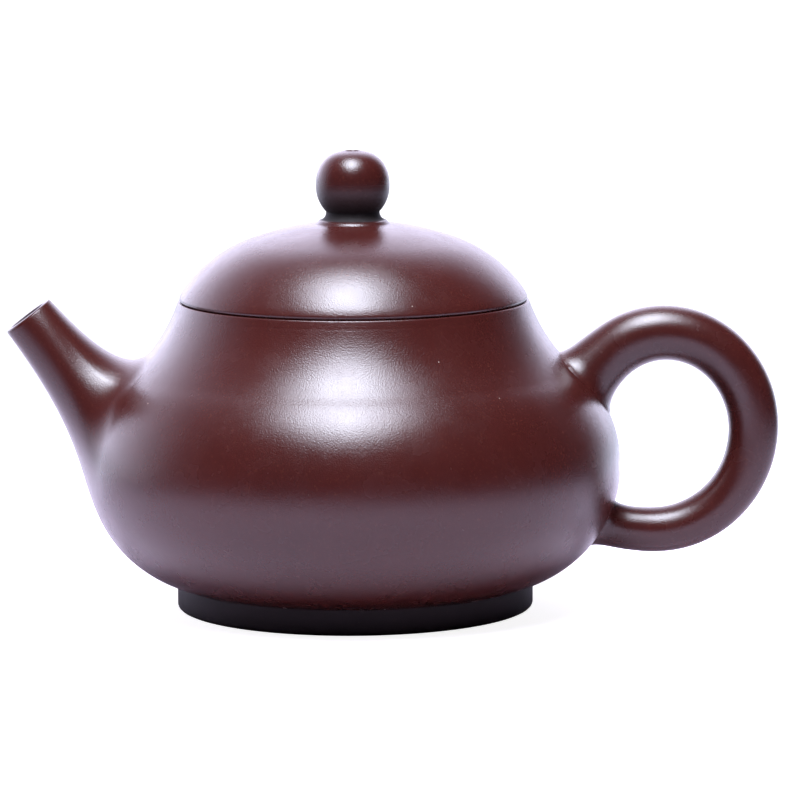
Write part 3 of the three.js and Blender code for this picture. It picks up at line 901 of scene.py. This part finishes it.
PIECES = (
    (foot_ring, "foot_ring", "pot", foot_look, "foot_clay"),
    (base_disc, "base_disc", "pot", plain, "plain_clay"),
    (belly_wall, "belly_wall", "pot", burnished, "burnished_clay"),
    (shoulder, "shoulder", "pot", burnished, "burnished_clay"),
    (mouth_ring, "mouth_ring", "pot", plain, "plain_clay"),
    (spout, "spout", "pot", spout_look, "burnished_clay"),
    (spout_filter, "spout_filter", "pot", plain, "plain_clay"),
    (handle, "handle", "pot", burnished, "burnished_clay"),
    (lid_dome, "lid_dome", "lid", burnished, "burnished_clay"),
    (lid_seat_ring, "lid_seat_ring", "lid", plain, "plain_clay"),
    (lid_flange, "lid_flange", "lid", plain, "plain_clay"),
    (knob_neck, "knob_neck", "lid", neck_look, "burnished_clay"),
    (knob, "knob", "lid", knob_look, "burnished_clay"),
)

for make, cad_node, body, material, slot in PIECES:
    piece = make()
    piece.data.materials.clear()
    piece.data.materials.append(material)
    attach(piece, body)
    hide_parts(cad_node)


# ---- Stage -----------------------------------------------------------------------------

def ramp(tree, value, start, end, low, high):
    """Smooth step of a value from low at the start to high at the end."""
    return node(tree, "ShaderNodeMapRange", {
        "Value": value, "From Min": start, "From Max": end, "To Min": low, "To Max": high,
    }, interpolation_type="SMOOTHSTEP").outputs["Result"]


def dot(tree, vector, along):
    return node(tree, "ShaderNodeVectorMath", {0: vector, 1: along},
                operation="DOT_PRODUCT").outputs["Value"]


def product(tree, *factors):
    result = factors[0]
    for factor in factors[1:]:
        result = node(tree, "ShaderNodeMath", {0: result, 1: factor},
                      operation="MULTIPLY").outputs["Value"]
    return result


def larger(tree, first, second):
    return node(tree, "ShaderNodeMath", {0: first, 1: second},
                operation="MAXIMUM").outputs["Value"]


def part_of(tree, vector, letter):
    return node(tree, "ShaderNodeSeparateXYZ", {"Vector": vector}).outputs[letter]


def sideways(tree, direction):
    return node(tree, "ShaderNodeMath", {0: part_of(tree, direction, "X")},
                operation="ABSOLUTE").outputs["Value"]


def backdrop_sides(tree, direction):
    """The backdrop is dimmer low down behind the pot than higher up or to the sides."""
    away = larger(tree, sideways(tree, direction), part_of(tree, direction, "Z"))
    return ramp(tree, away, *BACKDROP_MIDDLE_FADE, BACKDROP_MIDDLE, 1.0)


def stage_floor():
    """Pale floor: lit evenly for the camera, glowing behind the pot for its reflections."""
    corners = [(x * FLOOR_SIZE, y * FLOOR_SIZE, 0)
               for x, y in ((-1, -1), (1, -1), (1, 1), (-1, 1))]
    mesh = bpy.data.meshes.new("floor")
    mesh.from_pydata(corners, [], [(0, 1, 2, 3)])
    floor = bpy.data.objects.new("floor", mesh)
    bpy.context.scene.collection.objects.link(floor)
    material = bpy.data.materials.new("floor_look")
    material.use_nodes = True
    tree = material.node_tree
    place = node(tree, "ShaderNodeTexCoord").outputs["Object"]
    distance = node(tree, "ShaderNodeVectorMath", {0: place}, operation="LENGTH").outputs["Value"]
    outwards = node(tree, "ShaderNodeVectorMath", {0: place},
                    operation="NORMALIZE").outputs["Vector"]
    for_camera = node(tree, "ShaderNodeLightPath").outputs["Is Camera Ray"]

    # Painted shade: the floor's colour darkens away from the pot.
    near = ramp(tree, distance, *FLOOR_FAR_FADE, 1.0, 0.0)
    painted_floor_falloff = node(tree, "ShaderNodeMix", {
        "Factor": near, 6: FLOOR_FAR, 7: FLOOR_NEAR,
    }, data_type="RGBA").outputs[2]
    shown = ramp(tree, distance, *FLOOR_FILL_FADE, FLOOR_FILL, 1.0)
    glow = product(
        tree,
        ramp(tree, dot(tree, place, FLOOR_GLOW_EDGE), *FLOOR_GLOW_EDGE_FADE, 0.0, 1.0),
        ramp(tree, part_of(tree, place, "Y"), *FLOOR_GLOW_BACK_FADE, 0.0, FLOOR_GLOW),
        backdrop_sides(tree, outwards),
    )
    strength = node(tree, "ShaderNodeMix", {"Factor": for_camera, 2: glow, 3: shown}).outputs[0]
    colour = node(tree, "ShaderNodeMix", {
        "Factor": for_camera, 6: FLOOR_GLOW_COLOUR, 7: FLOOR_FILL_COLOUR,
    }, data_type="RGBA").outputs[2]

    shader = tree.nodes["Principled BSDF"]
    shader.inputs["Roughness"].default_value = FLOOR_ROUGHNESS
    tree.links.new(painted_floor_falloff, shader.inputs["Base Color"])
    tree.links.new(colour, shader.inputs["Emission Color"])
    tree.links.new(strength, shader.inputs["Emission Strength"])
    mesh.materials.append(material)


def key_light():
    """Overhead umbrella, brightest in the middle and soft towards its edge."""
    for i, (width, depth, radiance) in enumerate(KEY_LAYERS):
        light = bpy.data.lights.new(f"key_{i}", "AREA")
        light.shape = "ELLIPSE"
        light.size, light.size_y = width, depth
        light.energy = radiance * math.pi * width * depth * math.pi / 4
        light.color = KEY_COLOUR
        holder = bpy.data.objects.new(light.name, light)
        bpy.context.scene.collection.objects.link(holder)
        holder.location = Vector(KEY_PLACE) + Vector((0, 0, KEY_LAYER_GAP * i))


def studio_world():
    """Bright pale backdrop behind the pot, dark studio in front of it."""
    world = bpy.data.worlds.new("studio")
    bpy.context.scene.world = world
    world.use_nodes = True
    tree = world.node_tree
    tree.nodes.clear()
    direction = node(tree, "ShaderNodeTexCoord").outputs["Generated"]
    height = part_of(tree, direction, "Z")
    behind = ramp(tree, dot(tree, direction, BACKDROP_SIDE), *BACKDROP_SIDE_FADE,
                  STUDIO_DARK, BACKDROP_RADIANCE)
    sweep = product(
        tree,
        ramp(tree, sideways(tree, direction), *BACKDROP_SWEEP_FADE, 1.0, 0.0),
        ramp(tree, height, *BACKDROP_SWEEP_TOP_FADE, 1.0, BACKDROP_UPPER),
    )
    upper = larger(tree, sweep,
                   ramp(tree, height, *BACKDROP_UPPER_FADE, 1.0, BACKDROP_UPPER))
    right = ramp(tree, dot(tree, direction, BACKDROP_RIGHT_EDGE), *BACKDROP_RIGHT_FADE,
                 BACKDROP_RIGHT, 1.0)
    strength = product(tree, behind, upper, right, backdrop_sides(tree, direction))
    background = node(tree, "ShaderNodeBackground", {
        "Color": (*BACKDROP_COLOUR, 1), "Strength": strength,
    })
    output = node(tree, "ShaderNodeOutputWorld")
    tree.links.new(background.outputs["Background"], output.inputs["Surface"])


def camera():
    """A long lens that looks slightly down on the front, with the spout to the left."""
    lens = bpy.data.cameras.new("camera")
    lens.sensor_width = CAMERA_SENSOR
    lens.lens = CAMERA_LENS
    eye = bpy.data.objects.new("camera", lens)
    bpy.context.scene.collection.objects.link(eye)
    place = Matrix.Translation(CAMERA_PLACE)
    pitch = Matrix.Rotation(math.pi / 2 - CAMERA_PITCH, 4, "X")
    roll = Matrix.Rotation(CAMERA_ROLL, 4, "Z")
    eye.matrix_world = place @ pitch @ roll
    bpy.context.scene.camera = eye


stage_floor()
studio_world()
key_light()
camera()
bpy.context.scene.view_settings.view_transform = "Standard"
